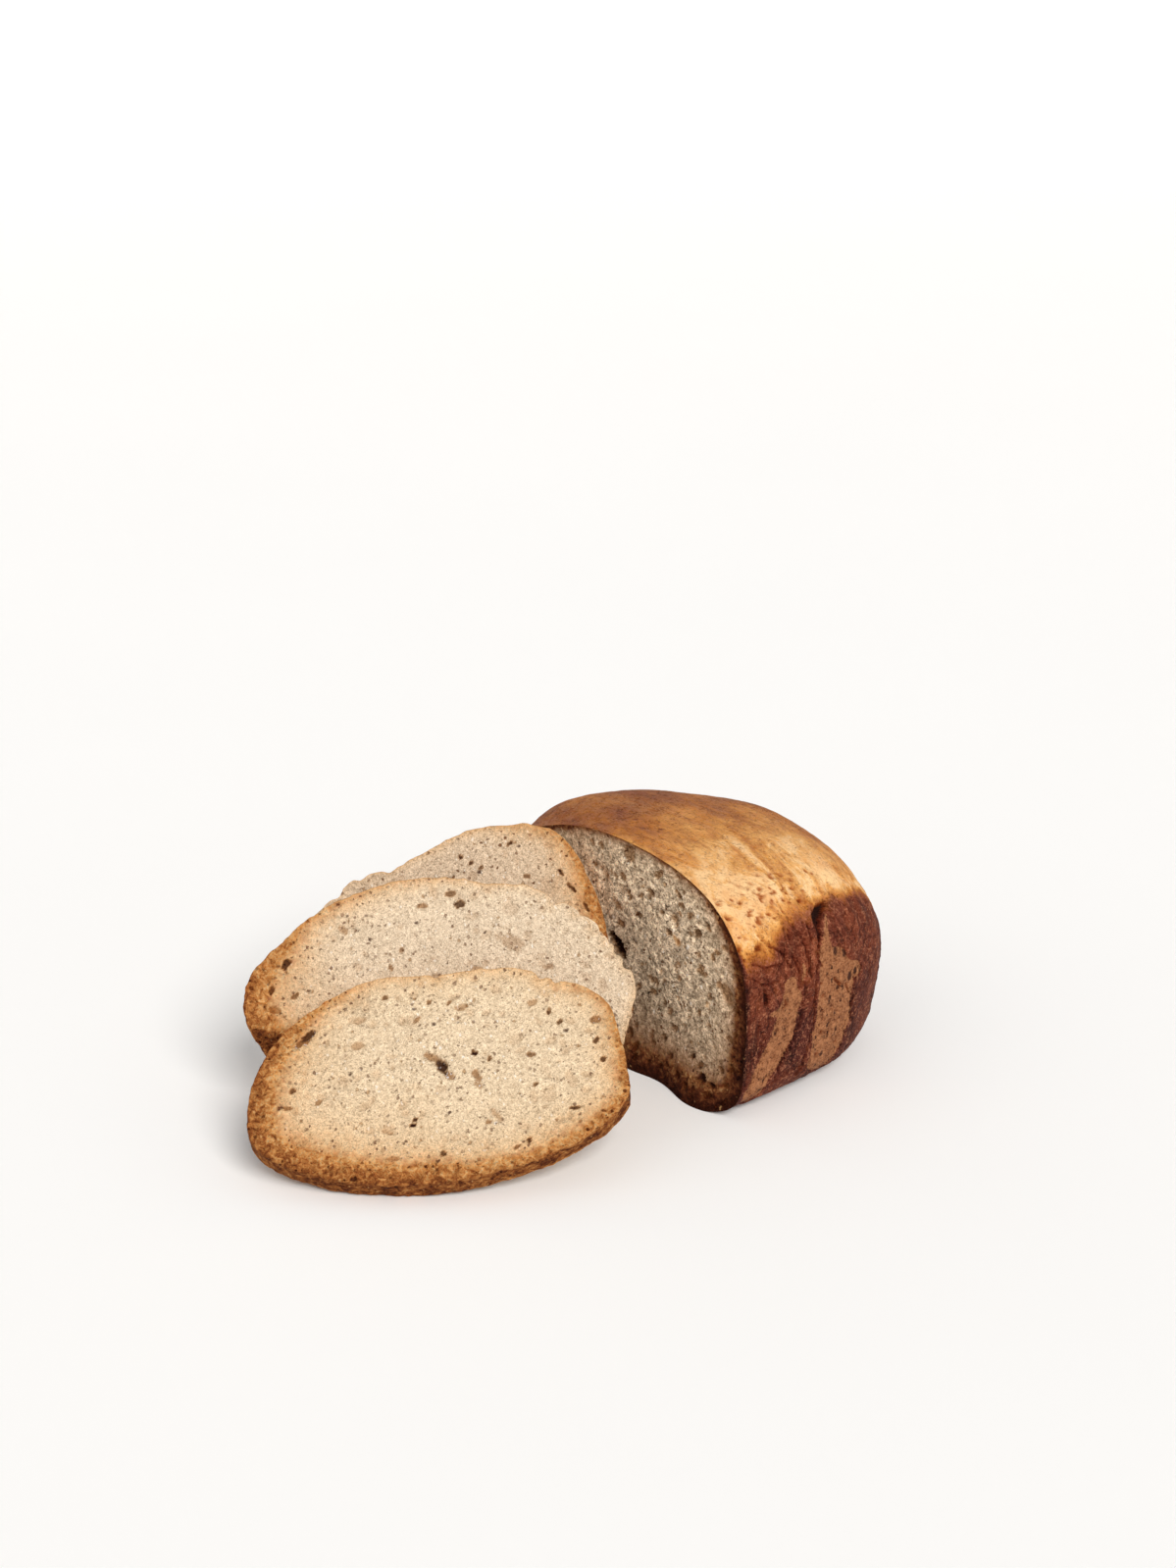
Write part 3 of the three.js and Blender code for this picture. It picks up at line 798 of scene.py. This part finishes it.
# Darker than the slices' rind tones of the same crust: painted shade on the cut face's browned edge.
SHADED_CUT_TONES = [  # from the crumb beside the crust to the crust itself
    (0.0, (0.44, 0.28, 0.14)),
    (0.25, (0.31, 0.135, 0.050)),
    (0.50, (0.140, 0.043, 0.015)),
    (0.75, (0.060, 0.014, 0.006)),
    (1.0, (0.026, 0.006, 0.003)),
]
cut_finish = crumb_finish(
    "loaf_crumb",
    pale=(0.95, 0.77, 0.560),
    deep=(0.40, 0.275, 0.165),
    tones=SHADED_CUT_TONES,
    speckle=1.0,
    contrast=0.92,
    clump=1.35,
)
skin_finish = crust_finish("loaf_crust")
loaf = make_piece(
    "loaf_baked",
    loaf_points,
    loaf_faces,
    pole_faces,
    loaf_marks,
    [cut_finish, skin_finish],
)
which_finish = np.ones(len(loaf.data.polygons), np.int32)
which_finish[len(skin_faces) : len(loaf_faces)] = 0
loaf.data.polygons.foreach_set("material_index", which_finish)
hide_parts("loaf")
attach(loaf, "root")

# ---- the slices ----------------------------------------------------------------------------
# Three slices cut from the same loaf and fallen forward: soft crumb on both faces, full of small
# bubbles, inside a thin rind that is brown at the tin's walls and floor and golden on the dome.
# Each is sawn off with a bread knife, which tears the crumb a little.

SLICE_ACROSS, SLICE_UP = 244, 124  # cells of each cut face
RIND_ROWS = 20  # rows of cells over the rind, from face to face
OUTLINE_POINTS = 4000  # points of the fine outline from which even ones are picked


def slice_axes(node):
    """The frame of a slice from its CAD mesh: its middle, the level direction across it, the
    direction up its face, and its facing, which is the axis along which it is thinnest."""
    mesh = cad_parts[node].data
    corners = np.zeros(3 * len(mesh.vertices), np.float32)
    mesh.vertices.foreach_get("co", corners)
    corners = corners.reshape(-1, 3).astype(float) / MM
    centre = (corners.max(0) + corners.min(0)) / 2
    facing = np.linalg.svd(corners - corners.mean(0), full_matrices=False)[2][2]
    facing = facing * np.sign(facing[2])
    level = np.cross([0, 0, 1], facing)
    level = level / np.linalg.norm(level)
    rising = np.cross(facing, level)
    local = (corners - centre) @ np.stack([level, rising, facing], 1)
    middle = (local.max(0) + local.min(0)) / 2
    local = local - middle
    centre = centre + np.stack([level, rising, facing], 1) @ middle
    return centre, level, rising, facing, local


def slice_outline(local):
    """The fine outline of a slice: its distance from the middle in each direction,
    read straight between the corners of its CAD mesh."""
    front = local[local[:, 2] > 0]
    direction = np.arctan2(front[:, 1], front[:, 0])
    order = np.argsort(direction)
    angles = np.linspace(-np.pi, np.pi, OUTLINE_POINTS, endpoint=False)
    radius = np.hypot(front[:, 0], front[:, 1])[order]
    distance = np.interp(angles, direction[order], radius, period=2 * np.pi)
    return np.stack([distance * np.cos(angles), distance * np.sin(angles)], -1)


def make_slice(node, name, seed, edge, holes, nicks, golden_from, finish, ragged, under=()):
    """One slice: the ring of its outline carried through its thickness as the rind, and a coons
    sheet over each end as the crumb, sunk by its bubbles and by the holes that are drawn. The
    rind is golden above golden_from, wrinkled as far as ragged says, and under is a stroke where
    the front face rounds back."""
    centre, level, rising, facing, local = slice_axes(node)
    half_thickness = (local[:, 2].max() - local[:, 2].min()) / 2
    dense = slice_outline(local)
    count = 2 * (SLICE_ACROSS + SLICE_UP)
    right = int(np.argmin(np.abs(np.arctan2(dense[:, 1], dense[:, 0]))))
    spots = even_ring(dense, count, right) % len(dense)
    columns = [np.interp(spots, np.arange(len(dense) + 1), np.append(d, d[0])) for d in dense.T]
    ring = np.roll(np.stack(columns, -1), SLICE_UP // 2 + SLICE_ACROSS, axis=0)
    tangent = np.roll(ring, -2, 0) - np.roll(ring, 2, 0)
    tangent = tangent / np.linalg.norm(tangent, axis=1, keepdims=True)
    inward = np.stack([-tangent[:, 1], tangent[:, 0]], -1)

    # The rind: rows from the back face to the front one, wrinkled and nicked.
    share = np.linspace(0, 1, RIND_ROWS + 1)
    share = 0.5 - 0.5 * np.cos(np.pi * share) * (0.55 + 0.45 * np.cos(np.pi * share) ** 2)
    height = (2 * share - 1) * half_thickness
    rows = np.zeros((RIND_ROWS + 1, count, 3))
    rows[..., :2] = ring[None]
    rows[..., 2] = height[:, None]
    shifted = rows + seed * 7.3
    to_face = half_thickness - np.abs(height)[:, None]
    press = -0.35 * rough(shifted, 6, seed, 3) - 0.22 * rough(shifted, 1.8, seed + 1, 2)
    press = press + ragged * rough(shifted * [1, 1, 0.4], 3.4, seed + 2, 2)
    press = press + 0.28 * np.clip(1 - to_face / 0.7, 0, 1) ** 2
    for u, v, depth, width in nicks:
        gap = np.hypot(ring[:, 0] - u, ring[:, 1] - v)
        press = press + depth * np.exp(-((gap / width) ** 2))[None]
    rows[..., :2] += inward[None] * press[..., None]

    # The two cut faces.
    faces_of = []
    for front in (False, True):
        sheet = coons(rows[-1 if front else 0], SLICE_ACROSS, SLICE_UP)
        plane = sheet[..., :2].reshape(-1, 2)
        rim = nearest(plane, rows[-1 if front else 0][:, :2])
        # Besides the crumb's depth, its bubbles and the drawn holes give painted shade inside them.
        depth, hollow = crumb_relief(plane, rim, seed + (10 if front else 20), 0.85, 0.14)
        depth = depth * (0.35 + 0.65 * smooth(rim / 1.5))
        toast = toasting(plane, rim, (0, -8), edge, seed + 30)
        hole_depth, hole_painted_shade, floury = carve(plane, holes if front else [], seed + 40)
        depth = np.maximum(depth, hole_depth)
        hollow = np.maximum(hollow, hole_painted_shade)
        if front and under:
            rounded = stroke(plane[:, 0], plane[:, 1], under)
            depth = depth + 0.8 * np.clip(rounded, 0, 6)
            toast = np.maximum(toast, 0.80 * smooth(rounded / 1.4 + 0.3))
        sheet[..., 2] += (depth if not front else -depth).reshape(sheet.shape[:2])
        faces_of.append((sheet, toast, hollow, floury))
    back_sheet, front_sheet = faces_of[0][0], faces_of[1][0]
    back_index = sheet_index(SLICE_ACROSS, SLICE_UP, 0, (RIND_ROWS + 1) * count)
    inner_count = (SLICE_ACROSS - 1) * (SLICE_UP - 1)
    front_start = (RIND_ROWS + 1) * count + inner_count
    front_index = sheet_index(SLICE_ACROSS, SLICE_UP, RIND_ROWS * count, front_start)
    back_height = np.zeros(count)
    front_height = np.zeros(count)
    back_height[back_index[back_index < count]] = back_sheet[..., 2][back_index < count]
    edge_of_front = (front_index >= RIND_ROWS * count) & (front_index < (RIND_ROWS + 1) * count)
    front_height[front_index[edge_of_front] - RIND_ROWS * count] = front_sheet[..., 2][edge_of_front]
    rows[..., 2] = back_height + (front_height - back_height) * share[:, None]
    flat_rows = rows.reshape(-1, 3)

    body = np.concatenate(
        [
            flat_rows,
            back_sheet[inside_sheet].reshape(-1, 3),
            front_sheet[inside_sheet].reshape(-1, 3),
        ]
    )
    placed = centre + body @ np.stack([level, rising, facing])
    low, high = (np.array(corner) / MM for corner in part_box(node))
    placed = np.clip(placed, low, high)

    # Marks: the rind is brown, and golden where it rose clear of the tin.
    rise = (flat_rows[:, 1] - golden_from) / 8 + 0.5 * rough(flat_rows + seed, 6, seed + 5, 2)
    rind_toast = 0.74 + 0.28 * rough(flat_rows + seed, 5, seed + 6, 3)
    direction = np.degrees(np.arctan2(flat_rows[:, 1] + 8, flat_rows[:, 0])) % 360
    angles, _, darks = np.array(edge).T
    face_dark = np.interp(direction, angles, darks)
    on_face = smooth(1 - to_face / 3.0) + np.zeros_like(press)
    rind_toast = rind_toast + (face_dark - rind_toast) * on_face.ravel()
    golden = smooth(rise) * (1 - on_face.ravel() * 0.6)
    zeros = np.zeros(len(flat_rows))

    def whole(on_rind, position):
        """One mark for the whole slice: rind, back crumb and front crumb."""
        parts = [face[position].reshape(SLICE_UP + 1, -1)[inside_sheet].ravel() for face in faces_of]
        return np.concatenate([on_rind, *parts])

    marks = {
        "dense": np.zeros(len(placed)),
        "toast": whole(rind_toast, 1),
        "hollow": whole(zeros, 2),
        "floury": whole(zeros, 3),
        "golden": np.concatenate([golden, np.zeros(2 * inner_count)]),
    }
    rind_index = wrapped(np.arange((RIND_ROWS + 1) * count).reshape(RIND_ROWS + 1, count))
    faces = np.concatenate([squares(rind_index), squares(back_index)[:, ::-1], squares(front_index)])
    piece = make_piece(name, placed, faces, np.zeros((0, 3), int), marks, [finish])
    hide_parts(node)
    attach(piece, "root")
    return piece


# Edges are [direction in degrees, reach in mm, darkness]; holes are [across, up, half length, half
# width, tilt in degrees, depth, how dark their painted shade is, how floury]; nicks are [across, up,
# depth, width].
RIND_TONES = [  # from the crumb beside the crust to the crust itself
    (0.0, (0.76, 0.54, 0.31)),
    (0.22, (0.68, 0.385, 0.155)),
    (0.45, (0.49, 0.205, 0.058)),
    (0.70, (0.23, 0.070, 0.018)),
    (1.0, (0.060, 0.014, 0.006)),
]
# The rear slice's crumb, made darker than the other slices' crumb of the same loaf as painted shade.
rear_crumb = crumb_finish(
    "rear_slice_crumb",
    pale=(0.74, 0.585, 0.43),
    deep=(0.54, 0.385, 0.255),
    tones=RIND_TONES,
    speckle=1.0,
    contrast=0.40,
)
make_slice(
    "slice_rear",
    "slice_rear_bread",
    seed=300,
    edge=[
        [0, 9.0, 0.50], [30, 9.0, 0.47], [55, 5.0, 0.36], [80, 2.0, 0.22],
        [120, 1.6, 0.12], [160, 2.0, 0.14], [200, 4.0, 0.6], [270, 5.0, 0.85],
        [330, 7.0, 0.70], [360, 9.0, 0.50],
    ],
    holes=[
        [51.6, 18.2, 2.1, 0.6, -62, 1.2, 0.80, 0],
        [46.7, 25.4, 2.2, 0.7, -50, 1.3, 0.85, 0],
        [53.6, 10.0, 1.6, 0.5, -70, 1.0, 0.75, 0],
        [43.0, 31.0, 1.5, 0.6, -55, 1.0, 0.9, 0],
        [49.5, 13.5, 1.4, 0.6, -60, 1.0, 0.85, 0],
        [55.0, 4.0, 1.5, 0.6, -70, 1.0, 0.85, 0],
        [11.4, 35.2, 1.1, 0.8, 20, 0.9, 0.9, 0],
        [8.0, 37.5, 0.9, 0.7, 0, 0.8, 0.9, 0],
        [15.0, 33.5, 1.0, 0.7, 40, 0.8, 0.8, 0],
        [0.9, 28.5, 1.2, 0.8, 30, 0.9, 0.8, 0],
        [25.4, 41.9, 1.3, 0.6, 30, 0.8, 0.8, 0],
        [31.0, 30.0, 1.2, 0.9, 0, 0.9, 0.7, 0],
    ],
    nicks=[
        [-27.7, 31.6, 1.3, 2.2], [-35.8, 25.2, 1.2, 2.0], [-17.4, 33.8, 1.2, 2.0],
    ],
    golden_from=12,
    finish=rear_crumb,
    ragged=0.34,
)
# The crust under the lower left of the middle slice, as a drawn stroke.
MIDDLE_UNDER = [[-72, -16, 10.0], [-60, -22, 13.2], [-48, -28, 15.0], [-30, -36, 15.5]]
middle_crumb = crumb_finish(
    "middle_slice_crumb",
    pale=(0.80, 0.66, 0.495),
    deep=(0.62, 0.465, 0.315),
    tones=RIND_TONES,
    speckle=0.78,
    contrast=0.34,
)
make_slice(
    "slice_middle",
    "slice_middle_bread",
    seed=500,
    edge=[
        [0, 2.2, 0.18], [40, 2.2, 0.14], [90, 3.4, 0.24], [140, 5.2, 0.38],
        [165, 13.0, 0.53], [195, 15.0, 0.66], [240, 8.0, 0.9], [300, 5.0, 0.85],
        [340, 3.0, 0.4], [360, 2.2, 0.18],
    ],
    holes=[
        [4.1, 37.0, 2.2, 1.2, 15, 1.2, 0.70, 0],
        [7.1, 33.0, 1.9, 1.4, 20, 1.3, 0.85, 0],
        [-5.6, 32.5, 2.0, 1.2, 10, 1.1, 0.55, 0],
        [24.2, 20.2, 5.0, 2.5, -20, 0.9, 0.28, 0],
        [13.0, 10.8, 1.8, 1.2, 0, 0.9, 0.42, 0],
        [-1.0, 8.5, 1.9, 1.2, 0, 0.9, 0.35, 0],
        [37.0, 11.5, 2.0, 1.2, 0, 0.9, 0.35, 0],
        [-33.0, 24.5, 1.9, 1.3, -40, 1.0, 0.42, 0],
        [-13.0, 17.5, 1.3, 1.0, 70, 0.9, 0.48, 0],
        [-16.5, 11.5, 1.2, 0.7, -60, 0.9, 0.65, 0],
        [-52.1, 13.0, 1.9, 1.2, 55, 1.5, 0.88, 0],
        [-57.0, 4.0, 1.4, 0.8, 70, 1.0, 0.75, 0],
        [-49.0, 2.0, 1.4, 0.8, 30, 0.9, 0.7, 0],
        [-56.0, -2.5, 2.6, 1.3, -15, 1.0, 0.50, 0],
    ],
    nicks=[
        [39.9, 35.0, 2.2, 1.9], [47.2, 30.8, 1.9, 1.7], [53.3, 25.6, 2.2, 1.8], [57.7, 20.8, 1.5, 1.5],
        [61.2, 16.9, 1.5, 1.4], [64.4, 11.8, 1.8, 1.6],
    ],
    golden_from=14,
    finish=middle_crumb,
    ragged=0.60,
    under=MIDDLE_UNDER,
)
front_crumb = crumb_finish(
    "front_slice_crumb",
    pale=(0.85, 0.685, 0.485),
    deep=(0.65, 0.475, 0.30),
    tones=RIND_TONES,
    speckle=0.72,
    contrast=0.34,
)
make_slice(
    "slice_front",
    "slice_front_bread",
    seed=700,
    edge=[
        [0, 7.0, 0.49], [30, 5.6, 0.39], [60, 4.4, 0.24], [120, 4.6, 0.26],
        [145, 5.6, 0.42], [165, 9.0, 0.62], [190, 10.0, 0.70], [215, 9.0, 0.66],
        [270, 7.5, 0.68], [320, 6.6, 0.49], [345, 6.8, 0.47], [360, 7.0, 0.49],
    ],
    holes=[
        [-3.4, 6.0, 2.6, 1.4, -25, 1.6, 0.50, 0],
        [0.4, 3.0, 3.3, 1.9, -50, 2.8, 0.95, 0.35],
        [3.2, -0.2, 2.4, 1.5, -40, 1.2, 0.55, 1.0],
        [-45.0, 12.6, 3.0, 1.1, 45, 2.0, 0.88, 0.35],
        [-47.8, 9.2, 1.8, 1.1, 50, 1.0, 0.6, 0.9],
        [-45.6, 9.8, 1.6, 0.9, 50, 1.0, 0.5, 1.0],
        [-7.2, -16.4, 1.0, 0.8, 40, 0.9, 0.95, 0],
        [-7.9, -18.4, 1.2, 0.8, 10, 1.0, 1.0, 0],
        [10.7, 7.8, 1.5, 1.0, -40, 1.4, 1.0, 0],
        [15.6, 5.8, 1.4, 0.8, 80, 0.9, 0.8, 0],
        [11.8, -0.2, 2.6, 1.3, -55, 1.1, 0.55, 0],
        [12.6, -3.4, 1.7, 1.1, -30, 0.7, 0.4, 1.0],
        [29.5, 7.8, 1.4, 0.9, 0, 0.9, 0.7, 0.5],
        [31.5, -2.9, 1.2, 0.8, 40, 0.9, 0.75, 0],
        [19.5, -14.2, 2.5, 1.0, -45, 0.9, 0.35, 0],
        [17.0, -16.8, 1.3, 0.9, 0, 0.7, 0.6, 0.9],
        [-16.0, -21.0, 2.2, 0.9, -12, 0.9, 0.35, 0],
        [49.8, 20.9, 1.9, 1.3, 30, 1.2, 0.6, 0.8],
        [50.6, 13.4, 1.4, 0.9, 60, 1.1, 0.85, 0],
        [53.4, 6.6, 1.3, 0.9, 60, 1.1, 0.85, 0],
        [45.0, -10.8, 2.2, 0.7, 10, 1.2, 0.9, 0],
        [5.1, 24.1, 2.3, 1.4, 5, 1.0, 0.42, 0],
        [-28.6, 18.5, 2.4, 1.2, 15, 1.0, 0.30, 0],
        [-28.2, 9.2, 2.2, 1.3, 5, 1.1, 0.38, 0],
        [-5.9, 25.6, 1.1, 0.8, 20, 0.9, 0.7, 0.3],
        [-20.5, 27.0, 1.1, 0.8, 20, 0.9, 0.75, 0],
        [-9.4, 19.2, 1.8, 1.0, 40, 0.9, 0.55, 0.2],
        [1.0, 25.8, 1.2, 0.6, 60, 0.8, 0.7, 0],
        [28.9, 26.5, 1.7, 1.2, 20, 0.9, 0.40, 0],
        [34.6, 23.8, 1.6, 0.8, 80, 1.0, 0.65, 0],
        [38.4, 20.0, 1.3, 0.8, 60, 1.0, 0.85, 0],
        [-49.6, -13.6, 1.3, 1.0, 0, 0.9, 0.55, 0],
        [-48.4, -7.5, 1.5, 1.1, 20, 1.0, 0.8, 0],
        [-39.3, -11.1, 1.3, 0.9, 60, 0.9, 0.55, 0],
        [-25.6, -37.6, 1.5, 1.0, 0, 1.0, 0.85, 0],
        [2.9, -28.0, 1.0, 0.8, 10, 0.9, 0.85, 0],
        [-13.5, -30.2, 2.6, 0.7, 5, 0.8, 0.40, 0],
        [26.8, -24.9, 1.2, 0.8, 30, 0.9, 0.65, 0],
        [30.5, -22.5, 1.1, 0.8, 70, 1.0, 0.9, 0],
        [54.2, -11.4, 1.2, 0.9, 0, 0.9, 0.8, 0],
    ],
    nicks=[
        [-4.4, 36.1, 1.4, 1.6], [31.3, 37.0, 1.3, 1.6], [36.4, 35.4, 1.2, 1.5],
    ],
    golden_from=14,
    finish=front_crumb,
    ragged=0.42,
)

# ---- the table, the light and the camera ---------------------------------------------------
# A plain pale table that curves up far behind, a large soft lamp high on the right, and pale
# light from all round.

TABLE_CORE = 0.6  # radius of its innermost ring, in metres
TABLE_FLAT = 2.6  # radius of its flat part
TABLE_SWEEP = 2.4  # radius of the curve in which it rises
SWEEP_ANGLE = math.radians(70)  # how steep it becomes
bend = np.linspace(0, SWEEP_ANGLE, 24)
sweep_radius = np.concatenate([[TABLE_CORE], TABLE_FLAT + TABLE_SWEEP * np.sin(bend)])
sweep_height = np.concatenate([[0.0], TABLE_SWEEP * (1 - np.cos(bend))])
turns = np.linspace(0, 2 * np.pi, 97)[:-1]
ring_x = sweep_radius[:, None] * np.cos(turns)
ring_y = sweep_radius[:, None] * np.sin(turns)
ring_z = sweep_height[:, None] + 0 * turns
table_rings = np.stack([ring_x, ring_y, ring_z], -1).reshape(-1, 3)
table_index = wrapped(np.arange(len(table_rings)).reshape(-1, len(turns)))
middle_number = np.full(len(turns), len(table_rings))
middle_faces = np.stack([table_index[0, :-1], table_index[0, 1:], middle_number], -1)
table_points = np.concatenate([table_rings, np.zeros((1, 3))]) / MM
table_finish = Finish("table_white")
table_tone = table_finish.noise(3, 2.0)
table_colour = table_finish.mix(table_tone, (0.955, 0.95, 0.945), (0.975, 0.97, 0.965))
table = make_piece(
    "table_top",
    table_points,
    squares(table_index)[:, ::-1],
    middle_faces,
    {},
    [table_finish.close(table_colour, 0.9, table_tone, 0.0001, 0.15)],
)


def soft_lamp(name, direction, strength, spread, colour):
    """A far, wide lamp that shines from that direction, its light spread over so many degrees."""
    lamp = bpy.data.lights.new(name, "SUN")
    lamp.energy = strength
    lamp.angle = math.radians(spread)
    lamp.color = colour
    holder = bpy.data.objects.new(name, lamp)
    holder.rotation_euler = Vector(direction).to_track_quat("Z", "Y").to_euler()
    bpy.context.scene.collection.objects.link(holder)


soft_lamp("key_lamp", (0.74, -0.20, 0.64), 2.55, 28.0, (1.0, 0.975, 0.94))
soft_lamp("fill_lamp", (-0.1, -0.9, 0.6), 0.38, 60.0, (1.0, 0.96, 0.90))

world = bpy.data.worlds.new("studio")
world.use_nodes = True
world.node_tree.nodes["Background"].inputs["Color"].default_value = (0.98, 0.99, 1.0, 1.0)
world.node_tree.nodes["Background"].inputs["Strength"].default_value = 0.40
bpy.context.scene.world = world
bpy.context.scene.view_settings.view_transform = "Standard"

camera_data = bpy.data.cameras.new("camera")
camera_data.lens = 56.8
camera_data.sensor_width = 36.0
camera_data.clip_start = 0.01
camera_data.clip_end = 20.0
camera = bpy.data.objects.new("camera", camera_data)
camera.location = (0.6038, -0.4970, 0.4131)
camera.rotation_euler = (math.radians(69.0), 0.0, math.radians(49.62))
bpy.context.scene.collection.objects.link(camera)
bpy.context.scene.camera = camera
